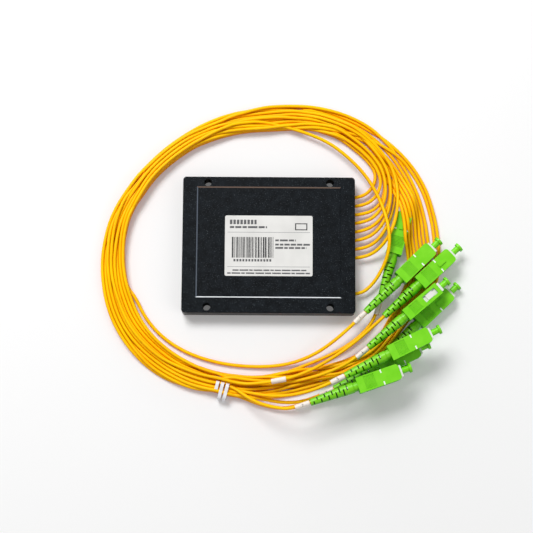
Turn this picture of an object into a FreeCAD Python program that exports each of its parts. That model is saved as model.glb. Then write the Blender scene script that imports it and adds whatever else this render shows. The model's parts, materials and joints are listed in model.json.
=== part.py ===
"""A 1 x 8 planar lightwave circuit fibre splitter in a black box.

One input lead and eight output leads leave the box on its east side. They share one loose coil that
lies around the box, and each ends in an SC/APC plug.

The origin is at the middle of the box's underside. +X runs along the box towards the side that the
leads come out of, and +Z points up. Sizes are in millimetres and angles in degrees.
"""
import FreeCAD, Part
import math
import os
import Sketcher

Vector = FreeCAD.Vector

SIZES = {
    # the box: a shallow base shell and a deeper lid, glued along the seam
    "box_length": 100.0,
    "box_width": 80.0,
    "box_height": 10.0,
    "seam_height": 4.0,
    "wall": 2.0,
    "floor": 1.5,
    "lid_top": 2.0,
    "corner_radius": 2.0,
    "top_edge_radius": 0.5,
    # through holes for the fixing screws, with a post around each
    "screw_inset_x": 14.5,
    "screw_inset_y": 3.5,
    "screw_radius": 2.25,
    "post_wall": 1.0,
    # pegs on the base shell, in sockets of the lid
    "peg_inset": 6.5,
    "peg_inset_y": 6.0,
    "peg_radius": 1.6,
    "peg_length": 3.0,
    "socket_wall": 0.9,
    "fit_clearance": 0.05,
    # the field on the lid for the label
    "recess_length": 83.7,
    "recess_width": 65.2,
    "recess_depth": 0.6,
    "recess_shift_y": 1.5,
    "recess_slope": 45.0,
    "pin_mark_radius": 2.0,
    "pin_mark_depth": 0.1,
    "pin_mark_x": 34.4,
    "pin_mark_y": -28.2,
    "pry_x": 36.6,
    "pry_length": 3.0,
    "pry_depth": 0.8,
    "label_length": 50.7,
    "label_width": 35.5,
    "label_thickness": 0.1,
    "label_shift_y": -0.7,
    # leads at the east wall
    "outputs": 8,
    "first_output_inset": 11.1,
    "output_pitch": 5.1,
    "input_inset": 11.9,
    "jacket_radius": 1.0,
    "exit_clearance": 0.05,
    "jacket_reach": 6.0,
    "anchor_length": 3.8,
    "anchor_wall": 1.0,
    # the splitter itself, in its steel sleeve, and the bare fibre tubes
    "sleeve_length": 45.0,
    "sleeve_width": 7.0,
    "sleeve_height": 4.0,
    "sleeve_wall": 0.25,
    "sleeve_front_x": 33.0,
    "chip_length": 15.0,
    "chip_width": 4.2,
    "array_length": 9.0,
    "array_width": 6.2,
    "chip_gap": 0.1,
    "fibre_radius": 0.375,
    "fibre_pitch": 0.8,
    "bend_radius": 24.0,
    "clip_thickness": 1.0,
    "clip_length": 4.0,
    # the plug's sliding grip housing, from its rear (0) towards the ferrule (+)
    "housing_length": 25.0,
    "housing_width": 9.0,
    "housing_thickness": 7.4,
    "housing_rear_wall": 2.0,
    "housing_hole_radius": 3.05,
    "housing_play": 0.15,
    "window_start": 13.5,
    "window_end": 22.4,
    "window_width": 3.8,
    "key_width": 2.2,
    "key_height": 0.7,
    "key_start": 14.5,
    "key_end": 19.5,
    "nose_round": 1.8,
    "groove_start": 4.2,
    "groove_pitch": 0.8,
    "groove_count": 8,
    "groove_width": 0.4,
    "groove_depth": 0.45,
    "groove_inset": 0.7,
    "housing_travel": 2.0,
    # the plug frame that snaps into the housing
    "frame_rear": 6.0,
    "frame_front": 26.2,
    "frame_width": 6.6,
    "frame_thickness": 5.4,
    "frame_bore_radius": 2.2,
    "frame_rear_bore_radius": 2.3,
    "hub_stop": 17.7,
    "hub_stop_thickness": 1.0,
    "shoulder_start": 15.5,
    "shoulder_length": 4.5,
    "shoulder_reach": 4.2,
    # ferrule, its hub and the spring behind it
    "ferrule_radius": 1.25,
    "ferrule_front": 25.7,
    "ferrule_tail": 1.4,
    "hub_radius": 2.0,
    "hub_length": 4.0,
    "ferrule_clearance": 0.1,
    "tip_angle": 8.0,
    "ferrule_travel": 1.0,
    "spring_radius": 1.9,
    "spring_wire": 0.45,
    # backbone, crimp sleeve, boot and the marker on the lead
    "backbone_front": 9.5,
    "backbone_radius": 2.15,
    "backbone_flange_radius": 2.5,
    "backbone_flange_start": 2.0,
    "neck_radius": 1.9,
    "neck_end": 5.0,
    "backbone_bore": 0.8,
    "crimp_end": 6.0,
    "crimp_start": 1.5,
    "crimp_wall": 0.3,
    "boot_front": 1.8,
    "boot_end": 28.0,
    "boot_collar_radius": 2.75,
    "boot_collar_end": 2.3,
    "boot_radius": 3.1,
    "boot_tail_radius": 1.9,
    "boot_sleeve_end": 6.3,
    "slit_start": 6.6,
    "slit_pitch": 2.2,
    "slit_pairs": 5,
    "slit_width": 0.75,
    "slit_core": 1.4,
    "slit_turn": 45.0,
    "marker_length": 8.5,
    "marker_wall": 0.3,
    "marker_clearance": 0.25,
    "marker_gap": 0.5,
    # dust cap on the ferrule
    "cap_start": 20.2,
    "cap_end": 32.0,
    "cap_wall": 0.5,
    "cap_flange_radius": 2.7,
    "cap_flange_length": 1.4,
    # the coil of all the leads lies between two ellipses, which are turned from +X
    "coil_outer_long": 100.1,
    "coil_outer_short": 85.2,
    "coil_outer_turn": 25.7,
    "coil_outer_x": 0.2,
    "coil_outer_y": -2.2,
    "coil_inner_long": 84.0,
    "coil_inner_short": 74.6,
    "coil_inner_turn": 14.6,
    "coil_inner_x": -1.4,
    "coil_inner_y": -2.9,
    "coil_height": 6.5,
    "coil_low_height": 4.2,
    "slope_start_x": 50.0,
    "slope_end_x": 75.0,
    "coil_round": 2.0,
    "bay_x": 68.7,
    "bay_y": 23.7,
    "bay_radius": 20.0,
    # the tie holds only the outer turns of the coil
    "tie_x": -26.8,
    "tie_y": -84.2,
    "tie_turn": -104.0,
    "tied_width": 8.8,
    "tied_height": 4.7,
    "tie_play": 0.1,
    "tie_wraps": 3,
    "tie_pitch": 2.9,
    "tie_width": 1.9,
    "tie_thickness": 0.7,
    "rest_gap": 0.3,
}

doc = FreeCAD.newDocument("FibreSplitter")
sheet = doc.addObject("Spreadsheet::Sheet", "Sizes")
for row, (alias, number) in enumerate(SIZES.items(), start=1):
    sheet.set(f"A{row}", alias)
    sheet.set(f"B{row}", str(number))
    sheet.setAlias(f"B{row}", alias)
doc.recompute()


def size(alias):
    """A size as a plain number, read from the sheet."""
    return float(sheet.get(alias))


def cells(text):
    """An expression in which each word that names a size points at its cell."""
    for alias in sorted(SIZES, key=len, reverse=True):
        text = text.replace(alias, "\0" + str(list(SIZES).index(alias)) + "\1")
    for index, alias in enumerate(SIZES):
        text = text.replace("\0" + str(index) + "\1", "Sizes." + alias)
    return text


# ---------------------------------------------------------------- sketches and features

def new_sketch(body, name, role, offset):
    """A sketch on one of the body's own origin planes, moved along its normal by an expression."""
    planes = {feature.Role: feature for feature in body.Origin.OriginFeatures}
    sketch = body.newObject("Sketcher::SketchObject", name)
    sketch.AttachmentSupport = [(planes[role], "")]
    sketch.MapMode = "FlatFace"
    if offset != "0":
        sketch.setExpression("AttachmentOffset.Base.z", cells(offset))
    return sketch


def pin(sketch, kind, geometry, vertex, expression, number):
    """Hold one coordinate of a vertex, or a radius, at the value of an expression."""
    if vertex:
        index = sketch.addConstraint(Sketcher.Constraint(kind, -1, 1, geometry, vertex, number))
    else:
        index = sketch.addConstraint(Sketcher.Constraint(kind, geometry, number))
    sketch.setExpression(f"Constraints[{index}]", expression)


def draw_polygon(sketch, points):
    """A closed outline of straight lines through corners that are given as expressions."""
    corners = [(cells(across), cells(up)) for across, up in points]
    at = [Vector(float(sketch.evalExpression(across)), float(sketch.evalExpression(up)), 0)
          for across, up in corners]
    first = sketch.GeometryCount
    count = len(at)
    for number in range(count):
        sketch.addGeometry(Part.LineSegment(at[number], at[(number + 1) % count]), False)
    for number in range(count):
        following = first + (number + 1) % count
        sketch.addConstraint(Sketcher.Constraint("Coincident", first + number, 2, following, 1))
    for number, (across, up) in enumerate(corners):
        pin(sketch, "DistanceX", first + number, 1, across, at[number].x)
        pin(sketch, "DistanceY", first + number, 1, up, at[number].y)


def draw_circle(sketch, across, up, radius):
    """A full circle whose centre and radius are expressions."""
    across, up, radius = cells(across), cells(up), cells(radius)
    centre = Vector(float(sketch.evalExpression(across)), float(sketch.evalExpression(up)), 0)
    reach = float(sketch.evalExpression(radius))
    circle = sketch.addGeometry(Part.Circle(centre, Vector(0, 0, 1), reach), False)
    pin(sketch, "DistanceX", circle, 3, across, centre.x)
    pin(sketch, "DistanceY", circle, 3, up, centre.y)
    pin(sketch, "Radius", circle, 0, radius, reach)


def rectangle(left, bottom, right, top):
    return [(left, bottom), (right, bottom), (right, top), (left, top)]


def centred(length, width, at_x="0", at_y="0"):
    """A rectangle about a point."""
    return rectangle(f"{at_x} - {length} / 2", f"{at_y} - {width} / 2",
                     f"{at_x} + {length} / 2", f"{at_y} + {width} / 2")


def feature(body, kind, name, outlines, length, role="XY_Plane", offset="0", back=False, both=False):
    """A pad or pocket of polygons and circles; back turns it round, both puts it on both sides."""
    sketch = new_sketch(body, name + "_sketch", role, offset)
    for outline in outlines:
        if isinstance(outline, tuple):
            draw_circle(sketch, *outline)
        else:
            draw_polygon(sketch, outline)
    made = body.newObject("PartDesign::" + kind, name)
    made.Profile = sketch
    made.setExpression("Length", cells(length))
    made.Reversed = back
    if both:
        made.SideType = "Symmetric"
    sketch.Visibility = False
    doc.recompute()
    body.Tip = made
    return made


def turned(body, name, profile):
    """A revolved profile of (radius, height) corners about the body's own Z axis."""
    sketch = new_sketch(body, name + "_sketch", "XZ_Plane", "0")
    draw_polygon(sketch, profile)
    made = body.newObject("PartDesign::Revolution", name)
    made.Profile = sketch
    made.ReferenceAxis = (sketch, ["V_Axis"])
    made.Angle = 360
    sketch.Visibility = False
    doc.recompute()
    body.Tip = made
    return made


def repeated(body, made, count, pitch):
    """A row of copies of a pocket along the body's Z axis."""
    pattern = body.newObject("PartDesign::LinearPattern", made.Name + "_row")
    pattern.Originals = [made]
    pattern.Direction = (made.Profile[0], ["V_Axis"])
    pattern.setExpression("Occurrences", cells(count))
    pattern.setExpression("Length", cells(f"({count} - 1) * {pitch}"))
    doc.recompute()
    body.Tip = pattern
    return pattern


def softened(body, kind, name, value, wanted):
    """A fillet or chamfer on the edges of the body's last feature that a test picks out."""
    base = body.Tip
    names = [f"Edge{number}" for number, edge in enumerate(base.Shape.Edges, start=1) if wanted(edge)]
    made = body.newObject("PartDesign::" + kind, name)
    made.Base = (base, names)
    made.setExpression("Radius" if kind == "Fillet" else "Size", cells(value))
    doc.recompute()
    body.Tip = made
    return made


def is_upright(edge):
    box = edge.BoundBox
    return box.XLength < 1e-6 and box.YLength < 1e-6


def new_body(label):
    body = doc.addObject("PartDesign::Body", label)
    body.Label = label
    return body


# ---------------------------------------------------------------- the box

def four(spacing_x, spacing_y, radius):
    """Four circles at the corners of a rectangle about the origin."""
    return [(f"{side_x} * {spacing_x} / 2", f"{side_y} * {spacing_y} / 2", radius)
            for side_x in (-1, 1) for side_y in (-1, 1)]


PEG_SPACING = ("(box_length - 2 * peg_inset)", "(box_width - 2 * peg_inset_y)")
SCREW_SPACING = ("(box_length - 2 * screw_inset_x)", "(box_width - 2 * screw_inset_y)")
FIRST_OUTPUT = "(box_width / 2 - first_output_inset)"
INPUT_LINE = "(input_inset - box_width / 2)"


def exit_lines():
    """The Y of each lead where it leaves the box, outputs first and the input last."""
    lines = [f"{FIRST_OUTPUT} - {number} * output_pitch" for number in range(int(size("outputs")))]
    return lines + [INPUT_LINE]


def exit_y(name):
    """The Y of one lead where it leaves the box, as a number."""
    if name == "in":
        return size("input_inset") - size("box_width") / 2
    return size("box_width") / 2 - size("first_output_inset") - (int(name) - 1) * size("output_pitch")


def exit_holes(body):
    """Half-round notches through the east wall, one for each lead, centred on the seam."""
    holes = [(line, "seam_height", "jacket_radius + exit_clearance") for line in exit_lines()]
    feature(body, "Pocket", "exits", holes, "wall + 1", role="YZ_Plane",
            offset="box_length / 2 - wall - 0.5", back=True)


def make_base_shell():
    body = new_body("base_shell")
    feature(body, "Pad", "base_block", [centred("box_length", "box_width")], "seam_height")
    softened(body, "Fillet", "base_corners", "corner_radius", is_upright)
    feature(body, "Pocket", "base_inside", [centred("(box_length - 2 * wall)", "(box_width - 2 * wall)")],
            "seam_height - floor", offset="floor", back=True)
    posts = four(*SCREW_SPACING, "screw_radius + post_wall")
    feature(body, "Pad", "base_posts", posts, "seam_height - floor", offset="floor")
    pegs = four(*PEG_SPACING, "peg_radius")
    feature(body, "Pad", "pegs", pegs, "seam_height - floor + peg_length", offset="floor")
    # a low bed and two pairs of clips hold the splitter's sleeve in line with the input lead
    middle = "(sleeve_front_x - sleeve_length / 2)"
    bed = [centred("(sleeve_length - 4)", "sleeve_width", middle, INPUT_LINE)]
    feature(body, "Pad", "sleeve_bed", bed, "seam_height - sleeve_height / 2 - floor", offset="floor")
    clips = []
    for end in (-1, 1):
        for side in (-1, 1):
            at_x = f"({middle} + {end} * sleeve_length / 4)"
            at_y = f"({INPUT_LINE} + {side} * (sleeve_width / 2 + fit_clearance + clip_thickness / 2))"
            clips.append(centred("clip_length", "clip_thickness", at_x, at_y))
    feature(body, "Pad", "sleeve_clips", clips, "seam_height - floor", offset="floor")
    feature(body, "Pocket", "base_screws", four(*SCREW_SPACING, "screw_radius"), "seam_height + 1",
            offset="-0.5", back=True)
    exit_holes(body)
    return body


def make_lid():
    body = new_body("lid")
    feature(body, "Pad", "lid_block", [centred("box_length", "box_width")], "box_height - seam_height",
            offset="seam_height")
    softened(body, "Fillet", "lid_corners", "corner_radius", is_upright)
    top = size("box_height")
    softened(body, "Fillet", "lid_top_edge", "top_edge_radius",
             lambda edge: edge.BoundBox.ZMin > top - 1e-6)
    inside = "box_height - seam_height - lid_top"
    feature(body, "Pocket", "lid_inside", [centred("(box_length - 2 * wall)", "(box_width - 2 * wall)")],
            inside, offset="seam_height", back=True)
    posts = four(*SCREW_SPACING, "screw_radius + post_wall")
    feature(body, "Pad", "lid_posts", posts, inside, offset="seam_height")
    sockets = four(*PEG_SPACING, "peg_radius + fit_clearance + socket_wall")
    feature(body, "Pad", "sockets", sockets, inside, offset="seam_height")
    bores = four(*PEG_SPACING, "peg_radius + fit_clearance")
    feature(body, "Pocket", "socket_bores", bores, "peg_length + fit_clearance", offset="seam_height",
            back=True)
    field = feature(body, "Pocket", "label_field",
                    [centred("recess_length", "recess_width", "0", "recess_shift_y")],
                    "recess_depth", offset="box_height")
    field.setExpression("TaperAngle", cells("-recess_slope"))
    doc.recompute()
    marks = [(f"{side} * pin_mark_x", "pin_mark_y", "pin_mark_radius") for side in (-1, 1)]
    feature(body, "Pocket", "pin_marks", marks, "pin_mark_depth", offset="box_height - recess_depth")
    notches = [centred("pry_length", "pry_depth * 2", f"({end} * pry_x)", f"({side} * box_width / 2)")
               for end in (-1, 1) for side in (-1, 1)]
    feature(body, "Pocket", "pry_notches", notches, "pry_depth", offset="seam_height", back=True)
    feature(body, "Pocket", "lid_screws", four(*SCREW_SPACING, "screw_radius"),
            "box_height - seam_height + 1", offset="seam_height - 0.5", back=True)
    exit_holes(body)
    return body


def make_label():
    body = new_body("label")
    feature(body, "Pad", "label_sheet", [centred("label_length", "label_width", "0", "label_shift_y")],
            "label_thickness", offset="box_height - recess_depth")
    softened(body, "Fillet", "label_corners", "corner_radius / 2", is_upright)
    return body


def make_cable_anchors():
    """Two combs inside the east wall that the leads' jackets are glued into."""
    body = new_body("cable_anchors")
    start = "(box_length / 2 - wall - 0.2 - anchor_length)"
    end = "(box_length / 2 - wall - 0.2)"
    side = "(jacket_radius + exit_clearance + anchor_wall)"
    last = f"({FIRST_OUTPUT} - (outputs - 1) * output_pitch)"
    combs = [rectangle(start, f"{last} - {side}", end, f"{FIRST_OUTPUT} + {side}"),
             rectangle(start, f"{INPUT_LINE} - {side}", end, f"{INPUT_LINE} + {side}")]
    height = "2 * (seam_height - floor)"
    feature(body, "Pad", "combs", combs, height, offset="floor")
    holes = [(line, "seam_height", "jacket_radius + exit_clearance") for line in exit_lines()]
    feature(body, "Pocket", "comb_holes", holes, "anchor_length + 1", role="YZ_Plane",
            offset=start + " - 0.5", back=True)
    return body


# ---------------------------------------------------------------- the splitter and its fibres

def make_splitter_sleeve():
    body = new_body("splitter_sleeve")
    low = "seam_height - sleeve_height / 2"
    tube = centred("sleeve_length", "sleeve_width", "(sleeve_front_x - sleeve_length / 2)", INPUT_LINE)
    feature(body, "Pad", "sleeve_block", [tube], "sleeve_height", offset=low)
    hollow = centred("(sleeve_width - 2 * sleeve_wall)", "(sleeve_height - 2 * sleeve_wall)", INPUT_LINE,
                     "seam_height")
    feature(body, "Pocket", "sleeve_hollow", [hollow], "sleeve_length + 2", role="YZ_Plane",
            offset="sleeve_front_x - sleeve_length - 1", back=True)
    return body


def make_splitter_chip():
    """The chip between the eight-fibre array and the single-fibre one, a plain stepped bar."""
    body = new_body("splitter_chip")
    middle = "(sleeve_front_x - sleeve_length / 2)"
    deep = "sleeve_height - 2 * sleeve_wall - 2 * chip_gap"
    low = "seam_height - sleeve_height / 2 + sleeve_wall + chip_gap"
    arrays = []
    for end in (-1, 1):
        at_x = f"({middle} + {end} * (chip_length + array_length) / 2)"
        arrays.append(centred("array_length", "array_width", at_x, INPUT_LINE))
    feature(body, "Pad", "arrays", [arrays[0]], deep, offset=low)
    feature(body, "Pad", "chip", [centred("(chip_length + 1)", "chip_width", middle, INPUT_LINE)],
            deep, offset=low)
    feature(body, "Pad", "input_array", [arrays[1]], deep, offset=low)
    return body


def route_wire(points, share=0.45):
    """Straight runs joined by tangent arcs, each arc as large as its two runs allow."""
    edges = []
    radii = []
    start = points[0]
    for before, corner, after in zip(points, points[1:], points[2:]):
        inward = corner - before
        outward = after - corner
        cut = share * min(inward.Length, outward.Length)
        inward.normalize()
        outward.normalize()
        half_turn = inward.getAngle(outward) / 2
        radius = cut / math.tan(half_turn)
        to_centre = outward - inward
        to_centre.normalize()
        centre = corner + to_centre * (radius / math.cos(half_turn))
        arc_start = corner - inward * cut
        arc_end = corner + outward * cut
        edges.append(Part.LineSegment(start, arc_start).toShape())
        edges.append(Part.Arc(arc_start, centre - to_centre * radius, arc_end).toShape())
        radii.append(radius)
        start = arc_end
    edges.append(Part.LineSegment(start, points[-1]).toShape())
    return Part.Wire(edges), radii


def swept(wire, radius):
    """A round bar along a wire, with its volume compared with its section times its length."""
    first = wire.OrderedEdges[0]
    circle = Part.makeCircle(radius, first.valueAt(first.FirstParameter),
                             first.tangentAt(first.FirstParameter))
    bar = wire.makePipeShell([Part.Wire(circle)], True, False)
    expected = math.pi * radius ** 2 * wire.Length
    if abs(bar.Volume - expected) > 0.002 * expected:
        raise ValueError(f"a swept bar holds {bar.Volume:.2f}, not {expected:.2f}")
    return bar


def new_shape(label, shape):
    """A sub-part whose shape is worked out here from the sheet's values."""
    made = doc.addObject("Part::Feature", label)
    made.Label = label
    made.Shape = shape
    return made


def jacket_start_x():
    return size("box_length") / 2 - size("jacket_reach")


def make_fibres_out():
    """Eight fibre tubes: out of the sleeve's west end, half a turn round and fanned to the exits."""
    height = size("seam_height")
    outputs = int(size("outputs"))
    array_end = size("sleeve_front_x") - (size("sleeve_length") + size("chip_length")) / 2
    array_end -= size("array_length")
    bend_x = size("sleeve_front_x") - size("sleeve_length") - 3.0
    bend_y = exit_y("in") + size("bend_radius")
    end_x = jacket_start_x()
    bars = []
    for number in range(outputs):
        radius = size("bend_radius") + ((outputs - 1) / 2 - number) * size("fibre_pitch")
        line = exit_y(str(number + 1))
        top = bend_y + radius
        straight = 3.0
        reach = end_x - straight - bend_x
        shift = line - top
        sway = (reach ** 2 + shift ** 2) / (4 * abs(shift))
        half = Vector(bend_x + reach / 2, top + shift / 2, height)
        side = math.copysign(1.0, shift)
        angle = math.asin(reach / (2 * sway)) / 2
        first_middle = Vector(bend_x + sway * math.sin(angle), top + side * sway * (1 - math.cos(angle)),
                              height)
        last_middle = half * 2 - first_middle
        corners = [Vector(array_end, bend_y - radius, height), Vector(bend_x, bend_y - radius, height),
                   Vector(bend_x, top, height), half,
                   Vector(bend_x + reach, line, height), Vector(end_x, line, height)]
        west = Vector(bend_x - radius, bend_y, height)
        edges = [Part.LineSegment(corners[0], corners[1]).toShape(),
                 Part.Arc(corners[1], west, corners[2]).toShape(),
                 Part.Arc(corners[2], first_middle, corners[3]).toShape(),
                 Part.Arc(corners[3], last_middle, corners[4]).toShape(),
                 Part.LineSegment(corners[4], corners[5]).toShape()]
        bars.append(swept(Part.Wire(edges), size("fibre_radius")))
    return new_shape("fibres_out", Part.makeCompound(bars))


def make_fibre_in():
    bar = doc.addObject("Part::Cylinder", "fibre_in")
    bar.Label = "fibre_in"
    start = "(sleeve_front_x - sleeve_length / 2 + chip_length / 2 + array_length)"
    bar.setExpression("Radius", cells("fibre_radius"))
    bar.setExpression("Height", cells(f"box_length / 2 - jacket_reach - {start}"))
    bar.Placement.Rotation = FreeCAD.Rotation(Vector(0, 1, 0), 90)
    bar.setExpression("Placement.Base.x", cells(start))
    bar.setExpression("Placement.Base.y", cells(INPUT_LINE))
    bar.setExpression("Placement.Base.z", cells("seam_height"))
    return bar


# ---------------------------------------------------------------- the plug's pieces
# Each is made once with its Z axis along the plug, X across its width and the key on +Y.

def make_housing():
    body = new_body("housing_master")
    feature(body, "Pad", "grip", [centred("housing_width", "housing_thickness")], "housing_length")
    front = size("housing_length")
    softened(body, "Fillet", "nose", "nose_round",
             lambda edge: edge.BoundBox.ZMin > front - 1e-6 and edge.BoundBox.XLength < 1e-6)
    cavity = centred("(frame_width + 2 * housing_play)", "(frame_thickness + 2 * housing_play)")
    feature(body, "Pocket", "cavity", [cavity], "housing_length - housing_rear_wall",
            offset="housing_rear_wall", back=True)
    feature(body, "Pocket", "rear_hole", [("0", "0", "housing_hole_radius")], "housing_rear_wall + 0.5",
            offset="-0.5", back=True)
    windows = rectangle("-window_width / 2", "window_start", "window_width / 2", "window_end")
    feature(body, "Pocket", "windows", [windows], "housing_width + 2", role="YZ_Plane", both=True)
    key = rectangle("housing_thickness / 2 - 0.4", "key_start", "housing_thickness / 2 + key_height",
                    "key_end")
    feature(body, "Pad", "key", [key], "key_width", role="YZ_Plane", both=True)
    for name, across, along, role in (("groove", "housing_thickness", "housing_width", "YZ_Plane"),
                                      ("side_groove", "housing_width", "housing_thickness", "XZ_Plane")):
        cuts = [rectangle(f"{side} * ({across} / 2 - groove_depth)", "groove_start",
                          f"{side} * ({across} / 2 + 0.5)", "groove_start + groove_width")
                for side in (-1, 1)]
        groove = feature(body, "Pocket", name, cuts, f"{along} - 2 * groove_inset", role=role, both=True)
        repeated(body, groove, "groove_count", "groove_pitch")
    return body


def make_plug_frame():
    body = new_body("plug_frame_master")
    feature(body, "Pad", "frame", [centred("frame_width", "frame_thickness")],
            "frame_front - frame_rear", offset="frame_rear")
    feature(body, "Pad", "shoulders", [centred("(2 * shoulder_reach)", "(window_width - 0.4)")],
            "shoulder_length", offset="shoulder_start")
    stop_end = "(hub_stop + hub_stop_thickness)"
    feature(body, "Pocket", "front_bore", [("0", "0", "frame_bore_radius")],
            f"frame_front - {stop_end} + 1", offset=stop_end, back=True)
    feature(body, "Pocket", "ferrule_hole", [("0", "0", "ferrule_radius + ferrule_clearance")],
            "hub_stop_thickness + 1", offset="hub_stop - 0.5", back=True)
    feature(body, "Pocket", "spring_bore", [("0", "0", "frame_rear_bore_radius")],
            "hub_stop - frame_rear + 0.5", offset="frame_rear - 0.5", back=True)
    return body


def make_ferrule():
    """The ceramic ferrule with its hub; the tip is ground at an angle."""
    body = new_body("ferrule_master")
    hub_front = "(hub_stop - fit_clearance)"
    hub_rear = f"({hub_front} - hub_length)"
    tail = f"{hub_rear} - ferrule_tail"
    turned(body, "ferrule", [("0", tail), ("ferrule_radius", tail),
                             ("ferrule_radius", hub_rear), ("hub_radius", hub_rear),
                             ("hub_radius", hub_front), ("ferrule_radius", hub_front),
                             ("ferrule_radius", "ferrule_front - 0.3"),
                             ("ferrule_radius - 0.3", "ferrule_front"), ("0", "ferrule_front")])
    rise = "2 * tan(tip_angle * 1 deg)"
    wedge = [("-2", f"ferrule_front - {rise}"), ("2", f"ferrule_front + {rise}"),
             ("2", "ferrule_front + 1"), ("-2", "ferrule_front + 1")]
    feature(body, "Pocket", "tip", [wedge], "4 * ferrule_radius", role="YZ_Plane", both=True)
    return body


def make_ferrule_spring():
    body = new_body("ferrule_spring_master")
    hub_rear = "(hub_stop - fit_clearance - hub_length)"
    inner = "spring_radius - spring_wire"
    turned(body, "spring", [(inner, "backbone_front"), ("spring_radius", "backbone_front"),
                            ("spring_radius", hub_rear), (inner, hub_rear)])
    return body


def make_backbone():
    body = new_body("backbone_master")
    turned(body, "backbone", [("backbone_bore", "-neck_end"), ("neck_radius", "-neck_end"),
                              ("neck_radius", "backbone_flange_start"),
                              ("backbone_flange_radius", "backbone_flange_start"),
                              ("backbone_flange_radius", "frame_rear"), ("backbone_radius", "frame_rear"),
                              ("backbone_radius", "backbone_front"), ("backbone_bore", "backbone_front")])
    return body


def make_crimp_sleeve():
    body = new_body("crimp_sleeve_master")
    inner = "neck_radius + fit_clearance"
    outer = "neck_radius + fit_clearance + crimp_wall"
    turned(body, "crimp", [(inner, "-crimp_end"), (outer, "-crimp_end"), (outer, "crimp_start"),
                           (inner, "crimp_start")])
    return body


def make_boot():
    """The bend-relief boot, slit from alternate sides so that it can flex."""
    body = new_body("boot_master")
    sleeve_bore = "neck_radius + 2 * fit_clearance + crimp_wall"
    tail_bore = "jacket_radius + fit_clearance"
    turned(body, "boot", [(tail_bore, "-boot_end"), ("boot_tail_radius", "-boot_end"),
                          ("boot_radius", "-boot_sleeve_end"), ("boot_radius", "-boot_collar_end - 0.4"),
                          ("boot_collar_radius", "-boot_collar_end"), ("boot_collar_radius", "boot_front"),
                          (sleeve_bore, "boot_front"), (sleeve_bore, "-boot_sleeve_end"),
                          (tail_bore, "-boot_sleeve_end")])
    for name, role, shift in (("slit_wide", "XZ_Plane", "0"), ("slit_high", "YZ_Plane", "slit_pitch")):
        last = f"-slit_start - {shift} - 2 * slit_pitch * (slit_pairs - 1)"
        cuts = [rectangle(f"{side} * slit_core", last, f"{side} * 4", last + " + slit_width")
                for side in (-1, 1)]
        cut = feature(body, "Pocket", name, cuts, "4 * boot_radius", role=role, both=True)
        cut.Profile[0].AttachmentOffset = FreeCAD.Placement(
            Vector(), FreeCAD.Rotation(Vector(0, 1, 0), size("slit_turn")))
        repeated(body, cut, "slit_pairs", "2 * slit_pitch")
    return body


def make_cap():
    body = new_body("cap_master")
    bore = "ferrule_radius + fit_clearance"
    outer = "ferrule_radius + fit_clearance + cap_wall"
    flange = "cap_end - cap_flange_length"
    turned(body, "cap", [(bore, "cap_start"), (outer, "cap_start"), (outer, flange),
                         ("cap_flange_radius", flange), ("cap_flange_radius", "cap_end"),
                         ("0", "cap_end"), ("0", flange), (bore, flange)])
    return body


def make_cable_marker():
    """The numbered sleeve on a lead, made about its own middle."""
    body = new_body("cable_marker_master")
    inner = "jacket_radius + marker_clearance"
    outer = "jacket_radius + marker_clearance + marker_wall"
    turned(body, "marker", [(inner, "-marker_length / 2"), (outer, "-marker_length / 2"),
                            (outer, "marker_length / 2"), (inner, "marker_length / 2")])
    return body


# ---------------------------------------------------------------- how the plugs and leads lie
# What a plug rests on sets the height of its axis.

half_thick = size("housing_thickness") / 2
key = size("key_height")
on_table = half_thick
on_ring = size("coil_low_height") + size("rest_gap") + half_thick
on_plug = 2 * half_thick + size("rest_gap")
second_plug = on_plug + key + half_thick
third_plug = second_plug + half_thick + size("rest_gap") + key + half_thick

# name: x and y of the housing's rear, the turn of the plug from +X, the height of its axis, its roll.
# The key points up at roll 0, to the plug's right at 90 and down at 180.
PLUGS = {
    "1": (75.9, -19.3, 44.4, on_ring + key, 180),
    "2": (87.0, -22.1, 42.9, on_ring, 0),
    "3": (78.4, -41.6, 40.4, on_plug + size("housing_width") / 2, 90),
    "4": (86.6, -44.4, 43.8, on_table, 0),
    "5": (68.4, -64.2, 26.5, third_plug, 180),
    "6": (62.8, -71.35, 25.5, second_plug, 180),
    "7": (50.2, -82.5, 19.5, third_plug, 180),
    "8": (51.4, -80.3, 19.6, on_table, 0),
    "in": (72.5, -4.1, 74.0, on_table, 0),
}

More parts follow.
